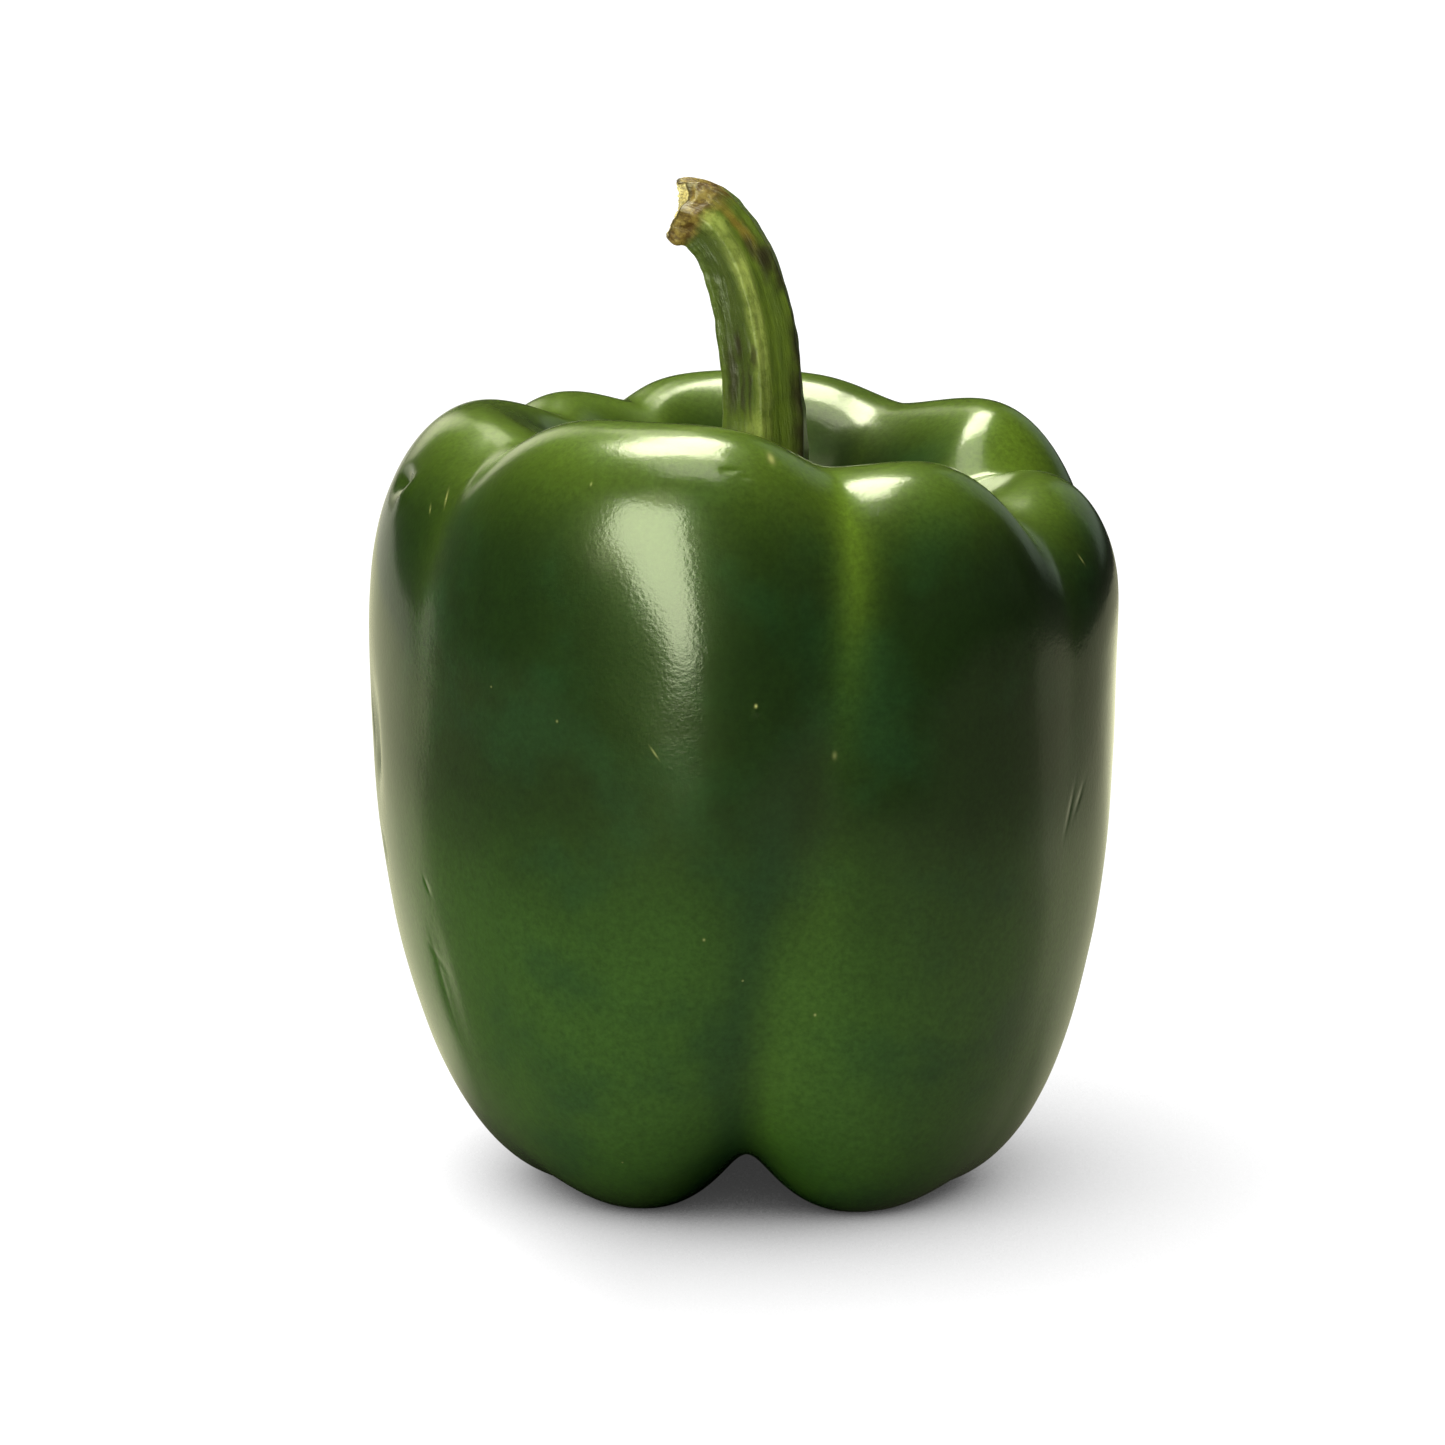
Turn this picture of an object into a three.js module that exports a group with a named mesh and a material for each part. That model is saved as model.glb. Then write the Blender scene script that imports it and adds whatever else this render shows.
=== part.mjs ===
// A green bell pepper that stands on its lobes, with its calyx and its curved, snapped-off stem.
// Millimetres, +Z up. The front is -Y, and an azimuth runs in degrees from the front towards +X.
import * as THREE from "three";

// Driving sizes of the fruit.
const rimHeight = 96; // floor to the highest lobe's crest
const cavityDepth = 25; // from that crest down to the hollow that the stem stands in
const baseHollow = 7.5; // from the floor up to the blossom scar
const cavityOffset = { x: 2.5, y: 1.5 }; // the stem's hollow, beside the body's own axis
const baseOffset = { x: 1.2, y: 0 }; // the blossom scar, beside that axis too
const pressed = 0.35; // how far the feet are flattened by the fruit's weight

// Driving sizes of the calyx and the stem.
const calyxGap = 0.3; // what the calyx keeps off the skin under it
const calyxThickness = 1.3;
const calyxPoints = 6; // one for each rib of the stem
const ribTurn = -11; // azimuth of the rib next to the front
const ribHeight = 0.28;
const stemFootAbove = 8; // the foot of the stem above the floor of the hollow
const stemRise = 39; // from the foot of the stem to its snapped end
const stemReach = 10.3; // how far that end lies to the left of the foot
const snappedHollow = 1.1; // depth of the torn pith inside the end

// Fineness of the solids.
const fruitColumns = 96;
const fruitRows = 46;
const stemColumns = 48; // 8 to a rib
const stemRows = { snappedFace: 3, stem: 20, calyxTop: 9, calyxEdge: 1, underside: 6 };

// The lobes: where each faces, the radius of its crest and its height beside the rim's, its radius at the
// belly and at the foot, and how far the foot is off the floor.
const lobes = [
  { at: -18, crest: 31, top: 0, side: 44, foot: 23, lift: 0 }, // front left
  { at: 31, crest: 31.5, top: -4.8, side: 44.5, foot: 24, lift: 0 }, // front right
  { at: 79, crest: 34, top: -9.6, side: 45.3, foot: 24, lift: 0.5 }, // right
  { at: 120, crest: 33, top: -1.8, side: 45, foot: 24, lift: 0 }, // back right
  { at: 189, crest: 31, top: -0.2, side: 43, foot: 23, lift: 0 }, // back
  { at: 228, crest: 31, top: -1.8, side: 43.5, foot: 23, lift: 0 }, // back left
  { at: 273, crest: 33.5, top: -1, side: 45, foot: 22.5, lift: 0.5 }, // left
];
const lobeSpread = 24; // degrees over which one lobe's sizes pass into the next one's

// The grooves between them. Each triple holds the value at the rim, half way down and at the foot: where the
// groove runs, how deep it pinches the fruit and how wide it is. Drop lowers the rim, and rise lifts the foot.
const grooves = [
  { at: [16, 14.5, -2], pinch: [3.5, 2.6, 7], wide: [12, 11, 17], drop: 1.6, rise: 8 },
  { at: [60, 60, 58], pinch: [3.5, 1.6, 1], wide: [11, 10, 14], drop: 4, rise: 1 },
  { at: [100, 98, 103], pinch: [3.5, 1.6, 5], wide: [9, 10, 16], drop: 5, rise: 5 },
  { at: [143, 145, 150], pinch: [3, 2, 2], wide: [16, 11, 14], drop: 2, rise: 1 },
  { at: [213, 208, 186], pinch: [3.5, 2.2, 6], wide: [9, 11, 16], drop: 2, rise: 7 },
  { at: [243, 243, 248], pinch: [3, 1.4, 4], wide: [8, 10, 15], drop: 2, rise: 4 },
  { at: [298, 302, 300], pinch: [3.5, 1.6, 1], wide: [14, 11, 14], drop: 3.2, rise: 1 },
];
const grooveSharpness = 1.6; // 2 is a plain bell curve, and less is a sharper valley

// The guide rings, from the hollow at the top over the rim and down to the blossom scar. Each has its share of
// a radius of the lobes and its height, and down is its way from the rim to the foot. The rest, left out where
// they are 0, are the shares in which it follows the lobes' crests, the grooves and the two offsets.
const floor = rimHeight - cavityDepth;
const rings = [
  { share: 0, of: "crest", height: floor, down: 0, topOffset: 1 },
  { share: 0.28, of: "crest", height: floor, down: 0, pinch: 0.05, topOffset: 1 },
  { share: 0.46, of: "crest", height: 76, down: 0, pinch: 0.25, drop: 0.1, topOffset: 1 },
  { share: 0.62, of: "crest", height: 84, down: 0, crests: 0.4, pinch: 0.6, drop: 0.4, topOffset: 0.9 },
  { share: 0.78, of: "crest", height: 93, down: 0, crests: 0.85, pinch: 1, drop: 0.9, topOffset: 0.8 },
  { share: 1.02, of: "crest", height: 97.5, down: 0, crests: 1, pinch: 1, drop: 1.1, topOffset: 0.6 },
  { share: 0.92, of: "side", height: 92, down: 0.1, crests: 0.77, pinch: 1, drop: 0.9, topOffset: 0.4 },
  { share: 1.018, of: "side", height: 79.5, down: 0.25, crests: 0.34, pinch: 1, drop: 0.4, topOffset: 0.2 },
  { share: 1.005, of: "side", height: 62, down: 0.45, pinch: 1 },
  { share: 1, of: "side", height: 44, down: 0.6, pinch: 1, baseOffset: 0.2 },
  { share: 0.93, of: "side", height: 25, down: 0.85, pinch: 1, baseOffset: 0.7 },
  { share: 0.8, of: "side", height: 8, down: 0.9, pinch: 1, rise: 0.3, baseOffset: 1 },
  { share: 1.13, of: "foot", height: -1.8, down: 1, pinch: 1, rise: 1, baseOffset: 1 },
  { share: 0.62, of: "foot", height: -0.3, down: 1, pinch: 0.6, rise: 0.8, baseOffset: 1 },
  { share: 0.32, of: "foot", height: 5, down: 1, pinch: 0.2, rise: 0.3, baseOffset: 1 },
  { share: 0, of: "foot", height: baseHollow, down: 1, baseOffset: 1 },
].map((ring) => ({ crests: 0, pinch: 0, drop: 0, rise: 0, topOffset: 0, baseOffset: 0, ...ring }));

const radians = THREE.MathUtils.degToRad;
const signedTurn = (degrees) => THREE.MathUtils.euclideanModulo(degrees + 180, 360) - 180;
const bell = (degrees, wide, sharpness) => Math.exp(-((Math.abs(signedTurn(degrees)) / wide) ** sharpness));

// A size of the lobes at an azimuth, passing smoothly from lobe to lobe.
function lobeSize(azimuth, size) {
  let sum = 0;
  let weights = 0;
  for (const lobe of lobes) {
    const weight = bell(azimuth - lobe.at, lobeSpread, 2);
    sum += weight * lobe[size];
    weights += weight;
  }
  return sum / weights;
}

// A groove's value at down, on the parabola through its values at the rim, half way and at the foot.
function grooveValue([rim, half, foot], down) {
  return rim * (1 - down) * (1 - 2 * down) + half * 4 * down * (1 - down) + foot * down * (2 * down - 1);
}

// The guide point of one ring at one azimuth.
function guidePoint(ring, azimuth) {
  let radius = ring.share * lobeSize(azimuth, ring.of);
  let height = ring.height + ring.crests * lobeSize(azimuth, "top") + ring.rise * lobeSize(azimuth, "lift");
  for (const groove of grooves) {
    const offValley = azimuth - grooveValue(groove.at, ring.down);
    const valley = bell(offValley, grooveValue(groove.wide, ring.down), grooveSharpness);
    radius -= valley * ring.pinch * grooveValue(groove.pinch, ring.down);
    height += valley * (ring.rise * groove.rise - ring.drop * groove.drop);
  }
  return new THREE.Vector3(
    ring.topOffset * cavityOffset.x + ring.baseOffset * baseOffset.x + radius * Math.sin(radians(azimuth)),
    ring.topOffset * cavityOffset.y + ring.baseOffset * baseOffset.y - radius * Math.cos(radians(azimuth)),
    height,
  );
}

// The guide points down one meridian, with the ring past each pole taken from the far side.
const meridians = new Map();
function meridian(azimuth) {
  if (!meridians.has(azimuth)) {
    const farSide = azimuth + 180;
    const line = rings.map((ring) => guidePoint(ring, azimuth));
    line.unshift(guidePoint(rings[1], farSide));
    line.push(guidePoint(rings[rings.length - 2], farSide));
    meridians.set(azimuth, line);
  }
  return meridians.get(azimuth);
}

// The skin at an azimuth, along rings from 0 at the top pole to the last ring's number: a cubic B-spline.
function skinPoint(azimuth, along) {
  const line = meridian(azimuth);
  const first = Math.min(Math.floor(along), rings.length - 2);
  const t = along - first;
  const weights = [(1 - t) ** 3, 3 * t ** 3 - 6 * t ** 2 + 4, -3 * t ** 3 + 3 * t ** 2 + 3 * t + 1, t ** 3];
  const point = new THREE.Vector3();
  weights.forEach((weight, i) => point.addScaledVector(line[first + i], weight / 6));
  point.z = Math.max(point.z - pressed, 0);
  return point;
}

// A point a given height above the skin.
function aboveSkin(azimuth, along, height) {
  const step = 0.01; // rings
  const outwards = skinPoint(azimuth, along + step).sub(skinPoint(azimuth, Math.max(along - step, 0)));
  const around = new THREE.Vector3(Math.cos(radians(azimuth)), Math.sin(radians(azimuth)), 0);
  return skinPoint(azimuth, along).addScaledVector(outwards.cross(around).normalize(), height);
}

// A closed ball of faces whose points are moved to where rule(azimuth, row) puts them. Its poles are one point.
function shaped(columns, rows, rule) {
  const geometry = new THREE.SphereGeometry(1, columns, rows);
  const place = geometry.attributes.position;
  let vertex = 0;
  for (let row = 0; row <= rows; row++) {
    const pole = row === 0 || row === rows;
    for (let column = 0; column <= columns; column++) {
      const azimuth = pole ? 0 : (360 * (column % columns)) / columns;
      place.setXYZ(vertex, ...rule(azimuth, row).toArray());
      vertex++;
    }
  }
  geometry.computeVertexNormals();
  return geometry;
}

// Ribs run up the stem and out over the calyx to its points: 1 on a rib, -1 between two.
const rib = (azimuth) => Math.cos(radians(calyxPoints * (azimuth - ribTurn)));

// The stem's line: up out of the calyx, leaning a little to the right, then over to the left.
const stemFoot = new THREE.Vector3(cavityOffset.x + 0.2, cavityOffset.y, floor + stemFootAbove);
const stemLine = new THREE.CubicBezierCurve3(
  stemFoot,
  new THREE.Vector3(stemFoot.x + 0.7, stemFoot.y, stemFoot.z + 0.45 * stemRise),
  new THREE.Vector3(stemFoot.x - 0.5, stemFoot.y, stemFoot.z + 0.97 * stemRise),
  new THREE.Vector3(stemFoot.x - stemReach, stemFoot.y, stemFoot.z + stemRise),
);

// The stem's radius along that line, from 0 at the foot to 1 at the end.
const curveThrough = (pairs) => new THREE.SplineCurve(pairs.map(([x, y]) => new THREE.Vector2(x, y)));
const stemRadius = curveThrough([[0, 5.4], [0.25, 4.95], [0.5, 4.7], [0.75, 4.15], [0.92, 3.85], [1, 3.1]]);

// A point on the stem. Inside its end, share is below 1 and the point is sunk into the pith.
function stemPoint(azimuth, along, share = 1, sunk = 0) {
  const ahead = stemLine.getTangent(along);
  const sideways = new THREE.Vector3(ahead.z, 0, -ahead.x);
  const frontwards = new THREE.Vector3(0, -1, 0);
  const radius = share * (stemRadius.getPoint(along).y + ribHeight * rib(azimuth));
  return stemLine
    .getPoint(along)
    .addScaledVector(sideways, radius * Math.sin(radians(azimuth)))
    .addScaledVector(frontwards, radius * Math.cos(radians(azimuth)))
    .addScaledVector(ahead, -sunk);
}

// The calyx's upper side, from the stem's foot to the edge: how far out along the skin's rings, and how high.
const calyxReach = 2; // rings
const calyxProfile = curveThrough([
  [0.62, stemFootAbove - 0.2],
  [0.68, 5],
  [0.86, 2.9],
  [1.2, calyxGap + 1.15 * calyxThickness],
  [1.6, calyxGap + calyxThickness],
  [calyxReach, calyxGap + 0.75 * calyxThickness],
]);

// How far out along the rings the edge lies, with a blunt point at each rib.
const calyxEdge = (azimuth) => calyxReach - 0.2 + 0.42 * ((1 + rib(azimuth)) / 2) ** 1.5;

function calyxTopPoint(azimuth, share) {
  const profile = calyxProfile.getPoint(share);
  const stretched = 1 + share * (calyxEdge(azimuth) / calyxReach - 1);
  const ridge = (1 - 0.6 * share) * ribHeight * rib(azimuth);
  return aboveSkin(azimuth, profile.x * stretched, profile.y + ridge);
}

// Rows of points from the middle of the snapped end, down the stem, over the calyx and under it to the middle.
function stemAndCalyxPoint(azimuth, row) {
  let passed = stemRows.snappedFace;
  if (row <= passed) {
    const share = row / stemRows.snappedFace;
    return stemPoint(azimuth, 1, share, snappedHollow * (1 - share ** 2));
  }
  passed += stemRows.stem;
  if (row <= passed) {
    return stemPoint(azimuth, (passed - row) / stemRows.stem);
  }
  passed += stemRows.calyxTop;
  if (row <= passed) {
    return calyxTopPoint(azimuth, 1 - (passed - row) / stemRows.calyxTop);
  }
  passed += stemRows.calyxEdge;
  const share = 1 - (row - passed) / stemRows.underside;
  return aboveSkin(azimuth, calyxEdge(azimuth) * share, calyxGap);
}

const skinMaterial = new THREE.MeshStandardMaterial({ color: 0x2c5018, roughness: 0.28, metalness: 0 });
const stemMaterial = new THREE.MeshStandardMaterial({ color: 0x6b8434, roughness: 0.5, metalness: 0 });

function makeFruit() {
  const rule = (azimuth, row) => skinPoint(azimuth, (row / fruitRows) * (rings.length - 1));
  const fruit = new THREE.Mesh(shaped(fruitColumns, fruitRows, rule), skinMaterial);
  fruit.name = "fruit";
  return fruit;
}

function makeStemAndCalyx() {
  const rows = Object.values(stemRows).reduce((sum, count) => sum + count);
  const stem = new THREE.Mesh(shaped(stemColumns, rows, stemAndCalyxPoint), stemMaterial);
  stem.name = "stem_and_calyx";
  return stem;
}

const pepper = new THREE.Group();
pepper.add(makeFruit(), makeStemAndCalyx());

// The origin is on the floor, under the middle of the pepper's box.
const middle = new THREE.Box3().setFromObject(pepper).getCenter(new THREE.Vector3());
pepper.position.set(-middle.x, -middle.y, 0);

export default pepper;
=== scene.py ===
import math
import bpy
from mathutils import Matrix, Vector


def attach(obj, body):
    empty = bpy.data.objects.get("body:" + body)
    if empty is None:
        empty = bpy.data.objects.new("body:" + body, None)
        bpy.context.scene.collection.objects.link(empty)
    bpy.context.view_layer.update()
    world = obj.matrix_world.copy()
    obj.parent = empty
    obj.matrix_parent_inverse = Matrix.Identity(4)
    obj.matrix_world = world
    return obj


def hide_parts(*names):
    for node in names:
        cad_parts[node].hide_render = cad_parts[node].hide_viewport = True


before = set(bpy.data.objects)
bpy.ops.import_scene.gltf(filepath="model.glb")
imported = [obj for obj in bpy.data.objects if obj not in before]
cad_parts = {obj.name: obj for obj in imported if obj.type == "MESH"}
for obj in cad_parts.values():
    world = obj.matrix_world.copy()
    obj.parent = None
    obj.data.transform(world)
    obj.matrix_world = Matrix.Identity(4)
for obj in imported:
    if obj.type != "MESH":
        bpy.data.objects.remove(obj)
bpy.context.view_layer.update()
print("frame loaded")

# Both pieces are grown from rules in millimetres around the fruit's own axis, which stands a little
# beside the middle of the pepper's box. Azimuths run in degrees from the front towards +X.
mm = 0.001
axisPlace = (-0.1598, 0.2526, 0.0)


class Term:
    # a node's output, so that the rules below read as plain sums
    def __init__(self, socket):
        self.socket = socket

    def __add__(self, other):
        return maths("ADD", self, other)

    def __radd__(self, other):
        return maths("ADD", other, self)

    def __sub__(self, other):
        return maths("SUBTRACT", self, other)

    def __rsub__(self, other):
        return maths("SUBTRACT", other, self)

    def __mul__(self, other):
        return maths("MULTIPLY", self, other)

    def __rmul__(self, other):
        return maths("MULTIPLY", other, self)

    def __truediv__(self, other):
        return maths("DIVIDE", self, other)

    def __pow__(self, other):
        return maths("POWER", self, other)

    def __neg__(self):
        return maths("MULTIPLY", self, -1.0)

    def part(self, name):
        return addNode(self.socket.id_data, "ShaderNodeSeparateXYZ", {"Vector": self}, out=name)


def isVector(item):
    return isinstance(item, tuple) or isinstance(item, Term) and item.socket.type in ("VECTOR", "RGBA")


def feed(socket, item):
    if isinstance(item, Term):
        socket.id_data.links.new(item.socket, socket)
    elif socket.type == "VECTOR" and not isinstance(item, (tuple, Vector)):
        socket.default_value = (item, item, item)
    elif socket.type == "RGBA" and len(item) == 3:
        socket.default_value = (*item, 1.0)
    else:
        socket.default_value = item


def addNode(tree, kind, inputs=None, out=0, **settings):
    node = tree.nodes.new(kind)
    for name, value in settings.items():
        setattr(node, name, value)
    for key, item in (inputs or {}).items():
        feed(node.inputs[key], item)
    # each node stands to the right of those that feed it
    feeders = [link.from_node.location.x for socket in node.inputs for link in socket.links]
    node.location.x = max(feeders, default=-200) + 200
    node.location.y = -40 * (len(tree.nodes) % 60)
    return Term(node.outputs[out]) if node.outputs else node


def maths(operation, *items):
    tree = next(item.socket.id_data for item in items if isinstance(item, Term))
    kind = "ShaderNodeVectorMath" if any(isVector(item) for item in items) else "ShaderNodeMath"
    out = "Value" if operation in ("DOT_PRODUCT", "LENGTH", "DISTANCE") else 0
    return addNode(tree, kind, dict(enumerate(items)), out, operation=operation)


def combine(x, y, z):
    tree = next(item.socket.id_data for item in (x, y, z) if isinstance(item, Term))
    return addNode(tree, "ShaderNodeCombineXYZ", {0: x, 1: y, 2: z})


def ramp(value, start, end, low=0.0, high=1.0, smooth=True):
    return addNode(value.socket.id_data, "ShaderNodeMapRange",
                   {"Value": value, "From Min": start, "From Max": end, "To Min": low, "To Max": high},
                   interpolation_type="SMOOTHSTEP" if smooth else "LINEAR")


def bell(offset, wide, sharpness=2.0):
    return maths("EXPONENT", -((maths("ABSOLUTE", offset) / wide) ** sharpness))


def turnFrom(azimuth, at):
    return maths("WRAP", azimuth - at, 180.0, -180.0)


def noise(place, size, detail=2.0, roughness=0.5, seed=0.0):
    # from 0 to 1, about 0.5 in the middle; size is the width of its patches
    return addNode(place.socket.id_data, "ShaderNodeTexNoise",
                   {"Vector": place + (seed, 0.37 * seed, 0.0), "Scale": 1 / size, "Detail": detail,
                    "Roughness": roughness})


def pick(index, values):
    tree = index.socket.id_data
    picked = addNode(tree, "GeometryNodeIndexSwitch", {"Index": index},
                     data_type="VECTOR" if isinstance(values[0], tuple) else "FLOAT")
    node = picked.socket.node
    while len(node.index_switch_items) < len(values):
        node.index_switch_items.new()
    for socket, value in zip(node.inputs[1:], values):
        socket.default_value = value
    return picked


socketKinds = {float: "NodeSocketFloat", int: "NodeSocketInt", tuple: "NodeSocketVector"}


def newTree(name, inputs, outputs):
    # inputs are named with what they start at, outputs with their kind
    tree = bpy.data.node_groups.new(name, "GeometryNodeTree")
    for label, value in inputs.items():
        if value == "Material":
            tree.interface.new_socket(label, in_out="INPUT", socket_type="NodeSocketMaterial")
        else:
            item = tree.interface.new_socket(label, in_out="INPUT", socket_type=socketKinds[type(value)])
            item.default_value = value
    for label, kind in outputs.items():
        tree.interface.new_socket(label, in_out="OUTPUT", socket_type="NodeSocket" + kind)
    entry = tree.nodes.new("NodeGroupInput")
    return tree, lambda label: Term(entry.outputs[label])


def endTree(tree, results):
    addNode(tree, "NodeGroupOutput", results)


def useGroup(tree, group, inputs):
    node = addNode(tree, "GeometryNodeGroup", node_tree=group).socket.node
    for label, item in inputs.items():
        feed(node.inputs[label], item)
    return lambda label: Term(node.outputs[label])


def grow(name, tree, sizes):
    # runs a tree on an empty object and keeps the mesh that it makes
    piece = bpy.data.objects.new(name, bpy.data.meshes.new(name))
    bpy.context.collection.objects.link(piece)
    modifier = piece.modifiers.new("Growth", "NODES")
    modifier.node_group = tree
    for item in tree.interface.items_tree:
        if item.item_type == "SOCKET" and item.in_out == "INPUT" and item.name in sizes:
            modifier[item.identifier] = sizes[item.name]
    bpy.context.view_layer.update()
    grown = piece.evaluated_get(bpy.context.evaluated_depsgraph_get())
    mesh = bpy.data.meshes.new_from_object(grown)
    piece.modifiers.clear()
    piece.data = mesh
    mesh.name = name
    triangles = sum(len(face.vertices) - 2 for face in mesh.polygons)
    print(name, "has", len(mesh.vertices), "points and", triangles, "triangles")
    return piece


# The fruit. Each lobe has its azimuth, the radius of its crest, that crest's height beside the rim's, the
# radius of its side and of its foot, and how far the foot is off the floor.
fruit = {
    "lobes": [
        dict(at=-18, crest=31, top=0, side=44, foot=23, lift=0),  # front left
        dict(at=31, crest=31.5, top=-4.8, side=44.5, foot=24, lift=0),  # front right
        dict(at=79, crest=34, top=-9.6, side=45.3, foot=24, lift=0.5),  # right
        dict(at=120, crest=33, top=-1.8, side=45, foot=24, lift=0),  # back right
        dict(at=189, crest=31, top=-0.2, side=43, foot=23, lift=0),  # back
        dict(at=228, crest=31, top=-1.8, side=43.5, foot=23, lift=0),  # back left
        dict(at=273, crest=33.5, top=-1, side=45, foot=22.5, lift=0.5),  # left
    ],
    "lobeSpread": 24.0,
    # at the rim, half way down and at the foot: where a groove runs, how deep it pinches and how wide it is
    "grooves": [
        dict(at=(16, 14.5, -2), pinch=(3.5, 2.6, 7), wide=(12, 11, 17), drop=1.6, rise=8),
        dict(at=(60, 60, 58), pinch=(3.5, 0.7, 0.8), wide=(11, 12, 14), drop=4, rise=1),
        dict(at=(100, 98, 103), pinch=(3.5, 1.6, 5), wide=(9, 10, 16), drop=5, rise=5),
        dict(at=(143, 145, 150), pinch=(3, 2, 2), wide=(16, 11, 14), drop=2, rise=1),
        dict(at=(213, 208, 186), pinch=(3.5, 2.2, 6), wide=(9, 11, 16), drop=2, rise=7),
        dict(at=(243, 243, 248), pinch=(3, 1.4, 4), wide=(8, 10, 15), drop=2, rise=4),
        dict(at=(298, 302, 300), pinch=(3.5, 0.5, 0.7), wide=(14, 13, 14), drop=3.2, rise=1),
    ],
    "grooveSharpness": 1.6,
    # guide rings from the hollow at the top, over the rim, down to the blossom scar
    "rings": [
        dict(share=0, of="crest", height=71, down=0, topOffset=1),
        dict(share=0.28, of="crest", height=71, down=0, pinch=0.05, topOffset=1),
        dict(share=0.46, of="crest", height=76, down=0, pinch=0.25, drop=0.1, topOffset=1),
        dict(share=0.62, of="crest", height=84, down=0, crests=0.4, pinch=0.6, drop=0.4, topOffset=0.9),
        dict(share=0.78, of="crest", height=93, down=0, crests=0.85, pinch=1, drop=0.9, topOffset=0.8),
        dict(share=1.02, of="crest", height=97.5, down=0, crests=1, pinch=1, drop=1.1, topOffset=0.6),
        dict(share=0.92, of="side", height=92, down=0.1, crests=0.77, pinch=1, drop=0.9, topOffset=0.4),
        dict(share=1.018, of="side", height=79.5, down=0.25, crests=0.34, pinch=1, drop=0.4, topOffset=0.2),
        dict(share=1.005, of="side", height=62, down=0.45, pinch=1),
        dict(share=1, of="side", height=44, down=0.6, pinch=1, baseOffset=0.2),
        dict(share=0.93, of="side", height=25, down=0.85, pinch=1, baseOffset=0.7),
        dict(share=0.8, of="side", height=8, down=0.9, pinch=1, rise=0.3, baseOffset=1),
        dict(share=1.13, of="foot", height=-1.8, down=1, pinch=1, rise=1, baseOffset=1),
        dict(share=0.62, of="foot", height=-0.3, down=1, pinch=0.6, rise=0.8, baseOffset=1),
        dict(share=0.32, of="foot", height=5, down=1, pinch=0.2, rise=0.3, baseOffset=1),
        dict(share=0, of="foot", height=7.5, down=1, baseOffset=1),
    ],
    "cavityOffset": (2.5, 1.5, 0.0),
    "baseOffset": (1.2, 0.0, 0.0),
    "flattened": 0.35,  # by the fruit's own weight, at its feet
    "columns": 360,
    "rows": 268,
    "lumps": 0.35,  # broad unevenness of the skin, in mm
    "ripples": 0.03,
    "lumpSize": 0.024,  # their width, in metres
    "rippleSize": 0.006,
    "seed": 0.1,  # moves both to another stretch of their pattern
    # dents: azimuth, height, turn off upright, length, width, depth
    "dents": [
        (-79, 86.1, 0, 1.3, 2.2, 1.3),
        (-74.6, 85.2, -20, 1.7, 0.9, -0.45),
        (-80, 55.5, 0, 6, 3.4, 0.9),
        (-80, 52, 10, 1.5, 1.0, 0.3),
        (-80, 41.5, 0, 1.6, 1.1, 0.35),
        (-59.3, 27.5, 5, 7, 2.1, 0.2),
        (148, 60, 6, 6, 1.5, 0.3),
        (206, 74, -20, 3, 1.5, 0.4),
    ],
}


def guidePointTree():
    lobes, grooves, rings = fruit["lobes"], fruit["grooves"], fruit["rings"]
    tree, given = newTree("Guide point", {"Ring": 0, "Azimuth": 0.0, "Cavity offset": fruit["cavityOffset"],
                                          "Base offset": fruit["baseOffset"]},
                          {"Point": "Vector", "Valley": "Float"})
    ring, azimuth = given("Ring"), given("Azimuth")

    def ringValues(*names):
        return pick(ring, [tuple(row.get(name, 0) for name in names) for row in rings])

    sizes = ("crest", "side", "foot")
    shares = pick(ring, [tuple(row["share"] * (row["of"] == size) for size in sizes) for row in rings])
    heights = ringValues("height", "crests", "rise")
    depths = ringValues("down", "pinch", "drop")
    offsets = ringValues("topOffset", "baseOffset", "down")
    down, rise = depths.part("X"), heights.part("Z")

    # the lobes' sizes, passing smoothly from one to the next
    weights = [bell(turnFrom(azimuth, lobe["at"]), fruit["lobeSpread"]) for lobe in lobes]
    weighed = list(zip(weights, lobes))
    radii = sum((share * (lobe["crest"], lobe["side"], lobe["foot"]) for share, lobe in weighed), 0.0)
    levels = sum((share * (lobe["top"], lobe["lift"], 0.0) for share, lobe in weighed), 0.0)
    weight = sum(weights, 0.0)
    radius = maths("DOT_PRODUCT", shares, radii) / weight
    height = heights.part("X") + (heights.part("Y") * levels.part("X") + rise * levels.part("Y")) / weight

    # the grooves run down on parabolas through their three values
    way = combine((1.0 - down) * (1.0 - down * 2.0), down * (1.0 - down) * 4.0, down * (down * 2.0 - 1.0))
    pinched, lifted, valleys = 0.0, 0.0, 0.0
    for groove in grooves:
        at, pinch, wide = (maths("DOT_PRODUCT", way, groove[name]) for name in ("at", "pinch", "wide"))
        valley = bell(turnFrom(azimuth, at), wide, fruit["grooveSharpness"])
        pinched = valley * pinch + pinched
        lifted = valley * (rise * groove["rise"] - depths.part("Z") * groove["drop"]) + lifted
        valleys = valley + valleys
    radius = radius - depths.part("Y") * pinched
    turned = maths("RADIANS", azimuth)
    outwards = combine(maths("SINE", turned), -maths("COSINE", turned), 0.0)
    middle = given("Cavity offset") * offsets.part("X") + given("Base offset") * offsets.part("Y")
    point = middle + outwards * radius + combine(0.0, 0.0, height + lifted)
    endTree(tree, {"Point": point, "Valley": valleys})
    return tree


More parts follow.
